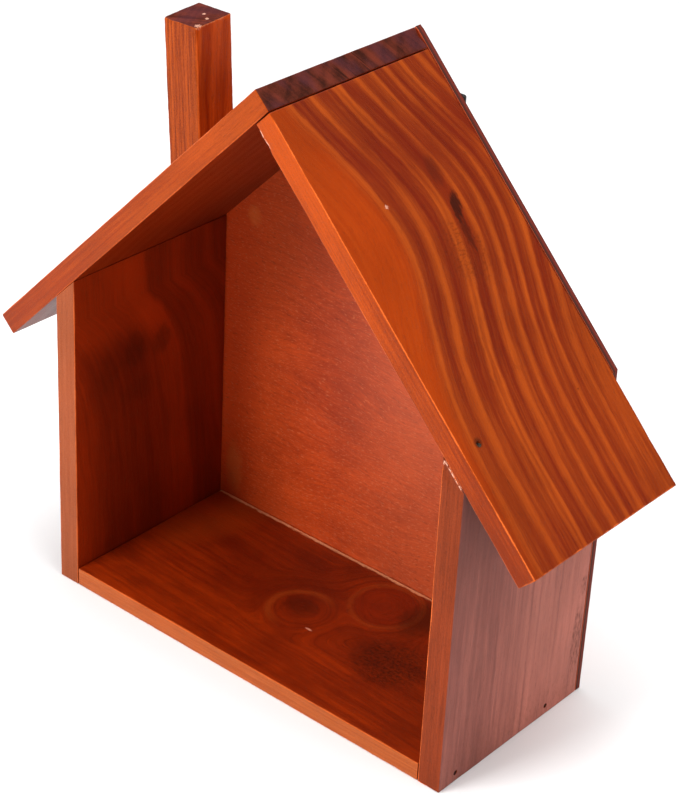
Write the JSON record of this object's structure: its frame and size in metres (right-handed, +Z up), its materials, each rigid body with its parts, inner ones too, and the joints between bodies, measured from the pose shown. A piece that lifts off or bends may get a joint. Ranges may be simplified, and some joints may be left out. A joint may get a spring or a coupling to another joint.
{
  "type": "birdhouse",
  "caption": "Open-fronted wooden birdhouse with a steep gable roof, a small chimney post, a thin back panel and a sawtooth hanger for the wall.",
  "frame": {"origin": "middle of the resting face, under the floor board: half way across the body and half way from the front edges to the back of the panel", "axes": "+Z up; the open front faces -Y and the hanger is on the +Y side; +X is the viewer's right from the front, and the chimney stands on the -X slope"},
  "size_m": [0.2637, 0.0909, 0.246],
  "materials": {
    "roof_pine": "pine with a red-orange mahogany stain and satin varnish, strong growth-ring bands",
    "wall_pine": "pine with a red-brown stain, nearly matt, grain upright",
    "floor_pine": "pine with a dark red stain and satin varnish, swirling grain round a knot",
    "plywood": "thin plywood with a red-orange stain, fine level grain, dark edges",
    "chimney_pine": "square-sawn pine strip, orange stain, dark end grain with chipped edges",
    "black_hanger": "black painted steel sheet and nails",
    "brad_steel": "plain steel brads, heads punched under the surface"
  },
  "bodies": {
    "root": {"left_roof_board": "roof_pine", "right_roof_board": "roof_pine", "left_side_wall": "wall_pine", "right_side_wall": "wall_pine", "floor_board": "floor_pine", "back_panel": "plywood", "chimney_post": "chimney_pine", "sawtooth_hanger": "black_hanger", "hanger_nail_left": "black_hanger", "hanger_nail_right": "black_hanger", "floor_brad_left_front": "brad_steel", "floor_brad_left_rear": "brad_steel", "floor_brad_right_front": "brad_steel", "floor_brad_right_rear": "brad_steel", "roof_brad_left_front": "brad_steel", "roof_brad_left_rear": "brad_steel", "roof_brad_right_front": "brad_steel", "roof_brad_right_rear": "brad_steel", "ridge_brad_front": "brad_steel", "ridge_brad_middle": "brad_steel", "ridge_brad_rear": "brad_steel", "panel_brad_wall_left_low": "brad_steel", "panel_brad_wall_left_high": "brad_steel", "panel_brad_wall_right_low": "brad_steel", "panel_brad_wall_right_high": "brad_steel", "panel_brad_floor_left": "brad_steel", "panel_brad_floor_right": "brad_steel", "panel_brad_roof_left": "brad_steel", "panel_brad_roof_right": "brad_steel", "chimney_brad_front": "brad_steel", "chimney_brad_rear": "brad_steel"}
  },
  "joints": []
}
